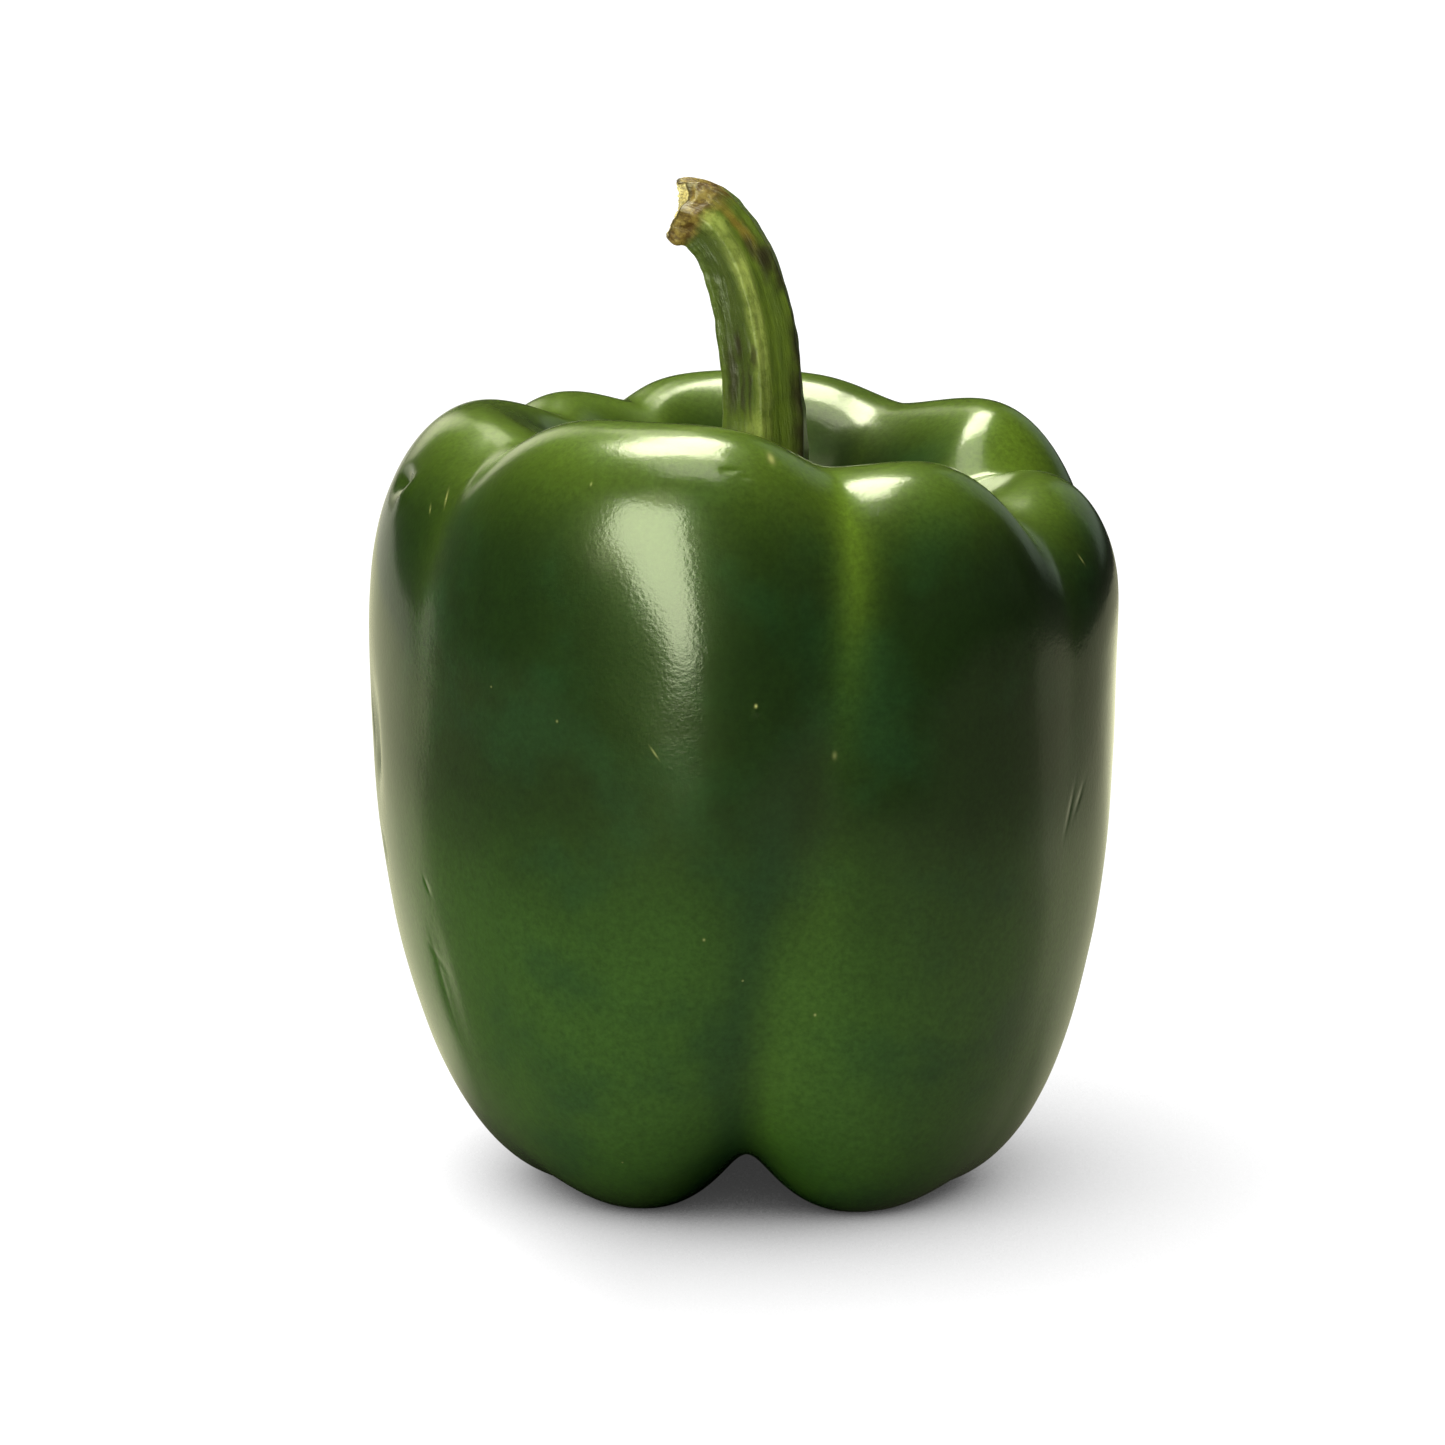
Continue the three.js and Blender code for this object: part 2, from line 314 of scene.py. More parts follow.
def skinPointTree(guidePoint):
    # the skin at an azimuth, along the rings from 0 at the top pole: a cubic B-spline down each meridian
    last = len(fruit["rings"]) - 1
    tree, given = newTree("Skin point", {"Azimuth": 0.0, "Along": 0.0, "Flattened": fruit["flattened"]},
                          {"Point": "Vector", "Valley": "Float"})
    azimuth, along = given("Azimuth"), given("Along")
    first = maths("MINIMUM", maths("FLOOR", along), last - 1.0)
    t = along - first
    s = 1.0 - t
    weights = [s * s * s, t * t * (t * 3.0 - 6.0) + 4.0, s * s * (s * 3.0 - 6.0) + 4.0, t * t * t]
    point, valley = 0.0, 0.0
    for i, weight in enumerate(weights):
        number = first + (i - 1.0)
        past = maths("GREATER_THAN", maths("ABSOLUTE", number - last / 2), last / 2 + 0.5)  # over a pole
        ring = last - maths("ABSOLUTE", last - maths("ABSOLUTE", number))
        guide = useGroup(tree, guidePoint, {"Ring": ring, "Azimuth": azimuth + past * 180.0})
        point = guide("Point") * weight + point
        valley = guide("Valley") * weight + valley
    point = point / 6.0
    resting = maths("MAXIMUM", point.part("Z") - given("Flattened"), 0.0)
    point = combine(point.part("X"), point.part("Y"), resting) + axisPlace
    endTree(tree, {"Point": point * mm, "Valley": valley / 6.0})
    return tree


def gridPlaces(tree, columns, rows):
    # a grid whose last column comes back to its first; gives the mesh, each point's azimuth and its row
    across, upright = columns + 1.0, rows + 1.0
    grid = addNode(tree, "GeometryNodeMeshGrid", {"Vertices X": across, "Vertices Y": upright})
    index = addNode(tree, "GeometryNodeInputIndex")
    column = maths("FLOOR", (index + 0.5) / upright)
    row = index - column * upright
    azimuth = maths("FLOORED_MODULO", column, columns) * 360.0 / columns
    return addNode(tree, "GeometryNodeFlipFaces", {"Mesh": grid}), azimuth, row


def storeValue(tree, mesh, name, value, kind="FLOAT"):
    return addNode(tree, "GeometryNodeStoreNamedAttribute",
                   {"Geometry": mesh, "Name": name, "Value": value}, data_type=kind)


def finishMesh(tree, mesh, material):
    shaded = addNode(tree, "GeometryNodeSetShadeSmooth", {"Geometry": mesh})
    real = addNode(tree, "GeometryNodeRealizeInstances", {"Geometry": shaded})
    coated = addNode(tree, "GeometryNodeSetMaterial", {"Geometry": real, "Material": material})
    endTree(tree, {"Mesh": coated})


def markAt(azimuth, height, away, at, z, turn, long, wide):
    # 1 in the middle of a mark on the skin, which is long one way and narrow the other
    across, up = maths("RADIANS", turnFrom(azimuth, at)) * away, height - z
    c, s = math.cos(math.radians(turn)), math.sin(math.radians(turn))
    return bell(across * c + up * s, wide) * bell(up * c - across * s, long)


def fruitTree(skinPoint):
    last = len(fruit["rings"]) - 1
    tree, given = newTree("Fruit", {
        "Columns": 36, "Rows": 27, "Flattened": 0.0, "Lumps": 0.0, "Ripples": 0.0, "Seed": 0.0,
        "Skin": "Material"}, {"Mesh": "Geometry"})
    grid, azimuth, row = gridPlaces(tree, given("Columns"), given("Rows"))
    atPole = maths("COMPARE", row, 0.0, 0.5) + maths("COMPARE", row, given("Rows"), 0.5)
    azimuth = azimuth * (1.0 - atPole)
    along = row / given("Rows") * last
    skin = useGroup(tree, skinPoint, {"Azimuth": azimuth, "Along": along, "Flattened": given("Flattened")})
    mesh = storeValue(tree, grid, "valley", skin("Valley"))
    mesh = storeValue(tree, mesh, "along", along)
    mesh = storeValue(tree, mesh, "azimuth", azimuth)
    mesh = addNode(tree, "GeometryNodeSetPosition", {"Geometry": mesh, "Position": skin("Point")})
    mesh = addNode(tree, "GeometryNodeMergeByDistance", {"Geometry": mesh, "Distance": 1e-6})

    # unevenness along the normals, calm where the fruit stands and where the calyx lies
    place = addNode(tree, "GeometryNodeInputPosition")
    azimuth, along = (addNode(tree, "GeometryNodeInputNamedAttribute", {"Name": name}, data_type="FLOAT")
                      for name in ("azimuth", "along"))
    height = place.part("Z") / mm
    free = ramp(height, 0.2, 4.0) * ramp(along, 2.2, 3.2)
    shift = combine(given("Seed"), given("Seed") * 0.37, 0.0)
    relief = (noise(place + shift, fruit["lumpSize"], 1.0) - 0.5) * given("Lumps") * 2.0
    relief = relief + (noise(place + shift * 2.0, fruit["rippleSize"], 2.0) - 0.5) * given("Ripples") * 2.0
    away = maths("LENGTH", place * (1.0, 1.0, 0.0)) / mm
    for *spot, depth in fruit["dents"]:
        relief = relief - markAt(azimuth, height, away, *spot) * depth
    offset = addNode(tree, "GeometryNodeInputNormal") * (relief * free * mm)
    mesh = addNode(tree, "GeometryNodeSetPosition", {"Geometry": mesh, "Offset": offset})
    finishMesh(tree, mesh, given("Skin"))
    return tree


def newMaterial(name):
    material = bpy.data.materials.new(name)
    material.use_nodes = True
    tree = material.node_tree
    shader = tree.nodes["Principled BSDF"]
    return material, tree, shader


def mixColours(factor, a, b):
    # the node has a set of sockets for each kind of data: 6, 7 and 2 are those for colours
    tree = factor.socket.id_data
    return addNode(tree, "ShaderNodeMix", {0: factor, 6: a, 7: b}, out=2, data_type="RGBA")


def attribute(tree, name, vector=False):
    return addNode(tree, "ShaderNodeAttribute", out="Vector" if vector else "Fac", attribute_name=name)


def azimuthOf(towards):
    # in degrees from the front, towards +X
    return maths("DEGREES", maths("ARCTAN2", towards.part("X"), -towards.part("Y")))


skinLook = {
    "deepGreen": (0.0038, 0.0092, 0.0026),
    "midGreen": (0.0205, 0.053, 0.008),
    # bluish green for random patches, and for the painted shade beside the front groove
    "blueGreenAndShade": (0.0054, 0.0215, 0.0082),
    # pale green of the groove streaks, partly painted highlight
    "paleGreenAndHighlight": (0.036, 0.078, 0.009),
    "rimPaleAndGlowGreen": (0.068, 0.111, 0.010),
    "fleck": (0.30, 0.30, 0.12),
    "scarBrown": (0.16, 0.10, 0.035),
    "waxRoughness": 0.14,
    "waxIor": 1.46,
    "fleshRoughness": 0.36,
    "fleshIor": 1.32,
    "fleshTint": (0.68, 1.0, 0.34),
    "grain": 0.017,  # the fine unevenness of the wax, in mm
    "shadeAboveBounceBelow": (57.0, 29.0),  # between these heights deep green passes into the lower, mid green: painted shade on the upper body and painted floor bounce light on the lower
    "patchDrift": 24.0,  # how far up and down patches carry that passage, in mm
    # how wide the spots of each kind are, and how far apart the tiny pale pores are, in metres
    "grainSizes": (0.0005, 0.0018),
    "patchSize": 0.03,
    "blueSize": 0.014,
    "fineSize": 0.004,
    "speckleSize": 0.0007,
    "pores": 0.007,
    # how much of each colour shows where it is strongest
    "midShare": 0.78,
    "blueShare": 0.62,
    "fineShare": 0.2,
    "rimPaleAndGlowShare": 0.8,
    "scarShare": 0.85,
    "poreShare": 0.35,
    "speckle": 0.28,
    # in guide rings: the middle and width of the pale rim with its painted glow, and the edge of the
    # blossom scar
    "rimGlowRing": 5.0,
    "rimGlowWidth": 1.1,
    "scarEdge": (14.52, 14.64),
    # fine creases: azimuth, height, turn off upright, length, width, depth
    "creases": [
        (-60.4, 28, 5, 4.5, 0.5, 0.05),
        (-60.5, 31, 48, 2.2, 0.6, 0.05),
        (-59.4, 39.8, 28, 0.9, 0.35, 0.12),
        (63.2, 49.9, -33, 1.8, 0.45, 0.09),
        (60.2, 48.9, -21, 2.6, 0.45, 0.09),
        (-2, 91, 84, 1.3, 0.35, 0.12),
        (0.3, 90.3, 74, 0.8, 0.3, 0.1),
        (-84, 57, 4, 3, 0.5, 0.15),
        (1.9, 64.3, 0, 0.5, 0.4, -0.08),
        (170, 40, 20, 4, 0.5, 0.14),
        (232, 66, -12, 3, 0.4, 0.14),
    ],
    # pale flecks and scratches: azimuth, height, turn off upright, length, width, strength
    "flecks": [
        (5.3, 92, 30, 0.5, 0.32, 0.9),
        (1.9, 65, 0, 0.2, 0.16, 1.0),
        (-63.2, 85.3, 35, 0.9, 0.12, 0.5),
        (-65.5, 83.9, 35, 0.5, 0.1, 0.35),
        (-13.1, 59.5, 35, 0.7, 0.1, 0.45),
        (-28.6, 62.4, 0, 0.14, 0.12, 0.5),
        (-25.8, 89.2, 0, 0.2, 0.12, 0.5),
        (-6.1, 37.5, 0, 0.15, 0.13, 0.6),
        (12.7, 27.7, 0, 0.16, 0.13, 0.6),
        (14.3, 58.8, 0, 0.4, 0.25, 0.3),
        (68.1, 77.8, 15, 0.5, 0.12, 0.6),
    ],
}


def skinMaterial():
    material, tree, shader = newMaterial("waxySkin")
    place = addNode(tree, "ShaderNodeTexCoord", out="Object")
    fromAxis = (place - tuple(mm * side for side in axisPlace)) / mm
    height, away = fromAxis.part("Z"), maths("LENGTH", fromAxis * (1.0, 1.0, 0.0))
    azimuth = azimuthOf(fromAxis)
    valley, along = attribute(tree, "valley"), attribute(tree, "along")
    patches = noise(place, skinLook["patchSize"], 3.0, 0.6)
    fine = noise(place, skinLook["fineSize"], 4.0, 0.65)
    # painted shade above and painted floor bounce light below; the painted shade reaches further down on
    # the front right lobe
    level = height + (patches - 0.5) * skinLook["patchDrift"] + bell(turnFrom(azimuth, 33.0), 17.0) * 5.0
    paintedBounceLower = ramp(level, *skinLook["shadeAboveBounceBelow"]) * skinLook["midShare"]
    green = mixColours(paintedBounceLower, skinLook["deepGreen"], skinLook["midGreen"])
    blue = ramp(noise(place, skinLook["blueSize"], 3.0, 0.6, seed=4.0), 0.45, 0.68)
    green = mixColours(blue * skinLook["blueShare"], green, skinLook["blueGreenAndShade"])
    green = mixColours(fine * skinLook["fineShare"], green, skinLook["midGreen"])
    # paler over the rim, partly painted glow around the rim highlights; paler in a streak down each groove,
    # with painted highlight near the top of the front one; painted shade, bluish, beside the front one
    rim = bell(along + (patches - 0.5) * 0.8 - skinLook["rimGlowRing"], skinLook["rimGlowWidth"], 2.5)
    green = mixColours(rim * skinLook["rimPaleAndGlowShare"], green, skinLook["rimPaleAndGlowGreen"])
    # painted shade: a bluish dark band on the flank beside the front groove
    paintedShadeBesideGroove = bell(turnFrom(azimuth, ramp(height, 20.0, 60.0, -2.0, 7.0, smooth=False)), 4.0)
    green = mixColours(paintedShadeBesideGroove * ramp(height, 62.0, 45.0) * 0.6, green, skinLook["blueGreenAndShade"])
    valley = maths("MINIMUM", valley, 1.0)
    # the front groove's streak is partly paler rind and partly painted highlight, where its bank catches
    # the light and, at the top, where the front right lobe's rim highlight begins
    streak = valley ** 4.0 * ramp(height, 58.0, 38.0) * 0.75 + valley ** 8.0 * ramp(height, 48.0, 66.0)
    streak = streak * (bell(turnFrom(azimuth, 14.0), 20.0) * ramp(height, 68.0, 86.0, 0.48, 0.72) + 0.15)
    streak = streak * ramp(height, 2.0, 18.0, 0.5, 1.0)
    streak = streak * ramp(maths("ABSOLUTE", height - 58.0), 4.0, 22.0, 0.5, 1.0)
    streakPaleAndHighlightGreen = mixColours(ramp(height, 62.0, 84.0), skinLook["paleGreenAndHighlight"], skinLook["rimPaleAndGlowGreen"])
    green = mixColours(streak, green, streakPaleAndHighlightGreen)
    speckle = noise(place, skinLook["speckleSize"], 2.0, 0.7, seed=6.0)
    green = green * ramp(speckle, 0.25, 0.75, 1.0 - skinLook["speckle"], 1.0 + skinLook["speckle"],
                         smooth=False)
    # pores and flecks
    pore = addNode(tree, "ShaderNodeTexVoronoi", {"Vector": place, "Scale": 1 / skinLook["pores"]})
    chance = Term(pore.socket.node.outputs["Color"]).part("X")
    pale = ramp(pore, 0.03, 0.016) * ramp(chance, 0.55, 0.9) * skinLook["poreShare"]
    for *spot, strength in skinLook["flecks"]:
        pale = maths("MAXIMUM", markAt(azimuth, height, away, *spot) * strength, pale)
    green = mixColours(pale, green, skinLook["fleck"])
    # the corky scar that the blossom leaves in the middle of the base
    scar = ramp(along + (fine - 0.5) * 0.3, *skinLook["scarEdge"])
    green = mixColours(scar * skinLook["scarShare"], green, skinLook["scarBrown"])
    tree.links.new(green.socket, shader.inputs["Base Color"])
    # wet flesh under a thin coat of wax
    shader.inputs["Roughness"].default_value = skinLook["fleshRoughness"]
    shader.inputs["IOR"].default_value = skinLook["fleshIor"]
    shader.inputs["Specular Tint"].default_value = (*skinLook["fleshTint"], 1.0)
    shader.inputs["Coat Weight"].default_value = 1.0
    shader.inputs["Coat Roughness"].default_value = skinLook["waxRoughness"]
    shader.inputs["Coat IOR"].default_value = skinLook["waxIor"]
    fineGrain, coarseGrain = skinLook["grainSizes"]
    relief = noise(place, fineGrain, 2.0, 0.6) + noise(place, coarseGrain, 2.0, 0.5) * 0.5
    relief = relief * skinLook["grain"]
    for *spot, depth in skinLook["creases"]:
        relief = relief - markAt(azimuth, height, away, *spot) * depth
    bump = addNode(tree, "ShaderNodeBump", {"Height": relief, "Distance": mm, "Strength": 1.0})
    tree.links.new(bump.socket, shader.inputs["Normal"])
    tree.links.new(bump.socket, shader.inputs["Coat Normal"])
    return material


guidePoint = guidePointTree()
skinPoint = skinPointTree(guidePoint)
skin = grow("pepper_fruit", fruitTree(skinPoint), {
    "Columns": fruit["columns"], "Rows": fruit["rows"], "Flattened": fruit["flattened"],
    "Lumps": fruit["lumps"], "Ripples": fruit["ripples"], "Seed": fruit["seed"], "Skin": skinMaterial()})
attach(skin, "root")
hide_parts("fruit")
print("fruit grown")

# The stem with its calyx. Ribs run up the stem and out over the calyx to its points.
stem = {
    "foot": (2.7, 1.5, 79.0),  # beside the fruit's axis, and above the floor
    "rise": 39.0,
    "lean": 10.3,  # how far the snapped end lies to the left
    # two points that bow its line: how far to the right, and how high as a share of its rise
    "bow": [(0.7, 0.45), (-0.5, 0.97)],
    "radii": [(0, 5.4), (0.25, 4.95), (0.5, 4.7), (0.75, 4.15), (0.92, 3.85), (1, 3.1)],
    "unevenness": 0.6,
    "points": 6.0,
    "ribTurn": -11.0,
    "ribTwist": 9.0,  # degrees that the ribs turn in the lower half of the stem
    "ribHeight": 0.28,
    "ridgeHeight": 0.3,  # the narrow crest of a rib, on top of that
    # from the stem's foot to the calyx's edge: its height over the skin, and how many guide rings out it is
    "calyxRise": [(0, 7.8), (0.12, 5.2), (0.35, 2.9), (0.6, 1.8), (0.82, 1.6), (1, 1.27)],
    "calyxOut": [(0, 0.62), (0.12, 0.7), (0.35, 0.98), (0.6, 1.34), (0.82, 1.7), (1, 2.0)],
    "calyxGap": 0.3,  # what the calyx keeps off the skin
    "calyxThickness": 1.3,
    "calyxReach": 1.8,  # in guide rings, between two points
    "pointReach": 0.42,
    "hollow": 0.3,  # of the torn pith
    # where the rim of the snapped end stands up or is broken down: azimuth, width in degrees, height
    "lips": [(95, 30, 0.6), (285, 55, 1.0), (35, 34, -1.1)],
    "columns": 264,
    "faceRows": 26,
    "stemRows": 150,
    "calyxRows": 62,
    "edgeRows": 8,
    "underRows": 12,
}


def aboveSkinTree(skinPoint):
    # a point a given height above the skin, in mm
    step = 0.01
    tree, given = newTree("Above skin", {"Azimuth": 0.0, "Along": 0.0, "Height": 0.0}, {"Point": "Vector"})
    azimuth, along = given("Azimuth"), given("Along")
    places = [useGroup(tree, skinPoint, {"Azimuth": azimuth, "Along": a})("Point")
              for a in (along, along + step, maths("MAXIMUM", along - step, 0.0))]
    turned = maths("RADIANS", azimuth)
    around = combine(maths("COSINE", turned), maths("SINE", turned), 0.0)
    normal = maths("NORMALIZE", maths("CROSS_PRODUCT", places[1] - places[2], around))
    endTree(tree, {"Point": places[0] + normal * (given("Height") * mm)})
    return tree


def curveThrough(value, pairs, scale):
    # a smooth curve through pairs of (place from 0 to 1, value); scale brings the values under 1 for it
    made = addNode(value.socket.id_data, "ShaderNodeFloatCurve", {"Value": value})
    curve = made.socket.node.mapping.curves[0]
    while len(curve.points) < len(pairs):
        curve.points.new(0.5, 0.5)
    for point, (x, y) in zip(curve.points, sorted(pairs)):
        point.location = (x, y / scale)
    made.socket.node.mapping.update()
    return made * scale


def ribTree():
    # 1 on a rib and -1 between two, and the narrow crest along each rib
    tree, given = newTree("Rib", {"Azimuth": 0.0, "Along": 0.0, "Points": 6.0, "Turn": 0.0, "Twist": 0.0},
                          {"Rib": "Float", "Crest": "Float"})
    turned = given("Azimuth") - given("Turn") - given("Twist") * ramp(given("Along"), 0.0, 0.4)
    angle = maths("RADIANS", turned * given("Points"))
    wave = maths("COSINE", angle)
    crest = maths("POWER", maths("MAXIMUM", wave, 0.0), 6.0)
    endTree(tree, {"Rib": wave, "Crest": crest})
    return tree


def stemPointTree(rib):
    # a point around the stem, along it from 0 at its foot, at a share of its radius and moved ahead in mm
    tree, given = newTree("Stem point", {
        "Azimuth": 0.0, "Along": 0.0, "Share": 1.0, "Ahead": 0.0, "Foot": (0.0, 0.0, 0.0), "Rise": 1.0,
        "Lean": 0.0, "Points": 6.0, "Turn": 0.0, "Twist": 0.0, "Rib height": 0.0, "Ridge height": 0.0},
        {"Point": "Vector"})
    azimuth, t, rise = given("Azimuth"), given("Along"), given("Rise")
    u = 1.0 - t
    # the stem's line up out of the calyx, a little to the right and then over to the left
    lean, bend = (combine(aside, 0.0, rise * high) for aside, high in stem["bow"])
    end = combine(-given("Lean"), 0.0, rise)
    middle = lean * (t * u * u * 3.0) + bend * (t * t * u * 3.0) + end * (t * t * t)
    ahead = lean * (u * u - t * u * 2.0) + bend * (t * u * 2.0 - t * t) + end * (t * t)
    ahead = maths("NORMALIZE", ahead)
    sideways = maths("CROSS_PRODUCT", (0.0, 1.0, 0.0), ahead)
    ribs = useGroup(tree, rib, {"Azimuth": azimuth, "Along": t, "Points": given("Points"),
                                "Turn": given("Turn"), "Twist": given("Twist")})
    turned = maths("RADIANS", azimuth)
    outwards = sideways * maths("SINE", turned) + combine(0.0, -maths("COSINE", turned), 0.0)
    radius = curveThrough(t, stem["radii"], 6.0) + ribs("Rib") * given("Rib height")
    radius = radius + ribs("Crest") * given("Ridge height")
    uneven = noise(outwards + combine(0.0, 0.0, t * 12.0), 0.8, 1.0, seed=7.0) - 0.5
    radius = radius + uneven * stem["unevenness"]
    # the lip that hangs under the snapped end
    radius = radius + bell(t - 0.97, 0.05) * bell(turnFrom(azimuth, 275.0), 60.0) * 0.9
    point = given("Foot") + axisPlace + middle + outwards * (radius * given("Share"))
    endTree(tree, {"Point": (point + ahead * given("Ahead")) * mm})
    return tree


def zone(tree, columns, rows, rule):
    # one band of the stem's surface
    grid, azimuth, row = gridPlaces(tree, columns, rows)
    share = row / rows
    place, where, pith = rule(azimuth, share)
    turned = maths("RADIANS", azimuth)
    outwards = combine(maths("SINE", turned), maths("COSINE", turned), 0.0)
    mesh = storeValue(tree, grid, "outwards", outwards, "FLOAT_VECTOR")
    mesh = storeValue(tree, mesh, "where", where)
    mesh = storeValue(tree, mesh, "pith", pith)
    return addNode(tree, "GeometryNodeSetPosition", {"Geometry": mesh, "Position": place})


def stemTree(skinPoint):
    rib = ribTree()
    stemPoint, aboveSkin = stemPointTree(rib), aboveSkinTree(skinPoint)
    tree, given = newTree("Stem and calyx", {
        "Columns": 48, "Face rows": 3, "Stem rows": 20, "Calyx rows": 9, "Edge rows": 1, "Under rows": 6,
        "Foot": (0.0, 0.0, 0.0), "Rise": 1.0, "Lean": 0.0, "Points": 6.0, "Rib turn": 0.0, "Rib twist": 0.0,
        "Rib height": 0.0, "Ridge height": 0.0, "Gap": 0.0, "Thickness": 0.0, "Calyx reach": 0.0,
        "Point reach": 0.0, "Hollow": 0.0, "Stem": "Material"}, {"Mesh": "Geometry"})
    columns, gap, thickness = given("Columns"), given("Gap"), given("Thickness")
    ribSizes = {"Points": given("Points"), "Turn": given("Rib turn"), "Twist": given("Rib twist")}
    stemSizes = {name: given(name) for name in ("Foot", "Rise", "Lean", "Rib height", "Ridge height")}

    def onStem(azimuth, along, **more):
        values = {"Azimuth": azimuth, "Along": along, **ribSizes, **stemSizes, **more}
        return useGroup(tree, stemPoint, values)("Point")

    def overSkin(azimuth, along, height):
        return useGroup(tree, aboveSkin, {"Azimuth": azimuth, "Along": along, "Height": height})("Point")

    def onCircle(azimuth, scale):
        turned = maths("RADIANS", azimuth)
        return combine(maths("SINE", turned) * scale, maths("COSINE", turned) * scale, 0.0)

    def lips(azimuth):
        # the ragged rim of the snapped end, in mm along the stem
        ragged = (noise(onCircle(azimuth, 3.0), 1.3, 3.0, 0.6, seed=2.0) - 0.5) * 1.3
        return sum((bell(turnFrom(azimuth, at), wide) * high for at, wide, high in stem["lips"]), ragged)

    def edge(azimuth):
        # how far out the calyx ends, in guide rings: furthest at its points, which carry the ribs on
        ribs = useGroup(tree, rib, {"Azimuth": azimuth, **ribSizes})("Rib")
        uneven = noise(onCircle(azimuth, 2.0), 0.9, 3.0, 0.6, seed=1.0) - 0.5
        return given("Calyx reach") + given("Point reach") * ((ribs + 1.0) / 2.0) ** 1.5 + uneven * 0.14

    rimHeight = gap + thickness * 0.75

    # Each rule below is for one band, down from the middle of the torn end. For a share of the way over
    # the band it gives a point's place, where it is on the piece for the material, and how much is pith.
    def face(azimuth, share):
        torn = noise(onCircle(azimuth, share * 3.0), 0.9, 3.0, 0.7, seed=5.0) - 0.5
        inside = 1.0 - share ** 4.0
        sunk = given("Hollow") * (1.0 - share * share) - torn * inside * 2.2
        point = onStem(azimuth, 1.0, Share=share, Ahead=lips(azimuth) * share - sunk)
        return point, 2.0 - share, ramp(share, 0.98, 0.9)

    def shaft(azimuth, share):
        t = 1.0 - share
        pull = lips(azimuth) * ramp(t, 0.93, 1.0)
        return onStem(azimuth, t, Ahead=pull), t, t * 0.0

    def top(azimuth, share):
        ribs = useGroup(tree, rib, {"Azimuth": azimuth, **ribSizes})
        rise = curveThrough(share, stem["calyxRise"], 8.0)
        out = curveThrough(share, stem["calyxOut"], 2.0)
        along = out * (1.0 - share) + edge(azimuth) * out * share / 2.0
        along = along * (1.0 - ramp(share, 0.98, 1.0)) + edge(azimuth) * ramp(share, 0.98, 1.0)
        ribbing = ribs("Rib") * given("Rib height") + ribs("Crest") * given("Ridge height")
        height = rise + (1.0 - share * 0.6) * ribbing
        bumps = noise(onCircle(azimuth, share * 4.0 + 2.0), 0.8, 2.0, seed=8.0) - 0.5
        height = height + bumps * 0.5 * ramp(share, 0.1, 0.4)
        closed = ramp(share, 0.85, 1.0)
        height = height * (1.0 - closed) + rimHeight * closed
        joined = ramp(share, 0.0, 0.16)
        place = onStem(azimuth, 0.0) * (1.0 - joined) + overSkin(azimuth, along, height) * joined
        return place, -share, share * 0.0

    def rim(azimuth, share):
        # rounded over from the top to the underside
        height = rimHeight + (gap - rimHeight) * share
        out = edge(azimuth) + 0.06 * maths("SINE", share * math.pi)
        return overSkin(azimuth, out, height), -1.0 - share, share * 0.0

    def underside(azimuth, share):
        azimuth = azimuth * ramp(share, 1.0, 0.999, smooth=False)  # one azimuth at the pole closes it
        return overSkin(azimuth, edge(azimuth) * (1.0 - share), gap), share * 0.0 - 2.0, share * 0.0

    rules = {"Face rows": face, "Stem rows": shaft, "Calyx rows": top, "Edge rows": rim,
             "Under rows": underside}
    bands = [zone(tree, columns, given(rows), rule) for rows, rule in rules.items()]
    joined = addNode(tree, "GeometryNodeJoinGeometry")
    for band in bands:
        tree.links.new(band.socket, joined.socket.node.inputs[0])
    mesh = addNode(tree, "GeometryNodeMergeByDistance", {"Geometry": joined, "Distance": 2e-6})
    finishMesh(tree, mesh, given("Stem"))
    return tree


stemLook = {
    "olive": (0.075, 0.108, 0.012),
    "deepGreen": (0.03, 0.044, 0.007),
    # pale green of the ridges and mottling, partly painted highlight along the front ridge
    "paleGreenAndHighlight": (0.26, 0.30, 0.08),
    "brown": (0.07, 0.037, 0.009),
    "darkBrown": (0.016, 0.012, 0.006),
    "redBrown": (0.2, 0.075, 0.012),
    "cork": (0.2, 0.14, 0.032),
    "pith": (0.7, 0.59, 0.31),
    "pithShade": (0.4, 0.31, 0.125),
    "roughness": 0.4,
    "ior": 1.38,
    "coat": 0.3,
    "coatRoughness": 0.2,
    "fibreSize": 0.16,  # in radii of the stem
    "fibreHeight": 0.00012,
    "mottleSize": 0.0014,
    "raggedSize": 0.003,  # of the marks' edges
    "corkFrom": (0.84, 0.91),  # the share of the way up where cork takes over from green
    # dark patches: share of the way up, azimuth, height as a share, width in degrees, strength
    "patches": [
        (0.655, 45, 0.05, 13, 0.95),
        (0.6, 58, 0.045, 11, 0.9),
        (0.7, 33, 0.04, 8, 0.8),
        (0.43, 62, 0.07, 12, 0.9),
        (0.3, 60, 0.09, 18, 0.95),
        (0.2, 57, 0.07, 20, 1.0),
        (0.44, -33, 0.04, 7, 0.9),
        (0.36, -48, 0.08, 8, 0.8),
        (0.33, -30, 0.06, 4, 0.7),
        (0.41, -9, 0.028, 4, 0.75),
        (0.33, -18, 0.07, 2.5, 0.7),
        (0.95, -40, 0.05, 30, 0.75),
        (0.5, 150, 0.05, 10, 0.8),
        (0.76, -130, 0.04, 9, 0.7),
        (0.3, 195, 0.09, 5, 0.7),
    ],
    "brownStreaks": [(0.6, 80, 0.3, 13, 0.9), (0.78, 38, 0.1, 9, 0.45)],
}


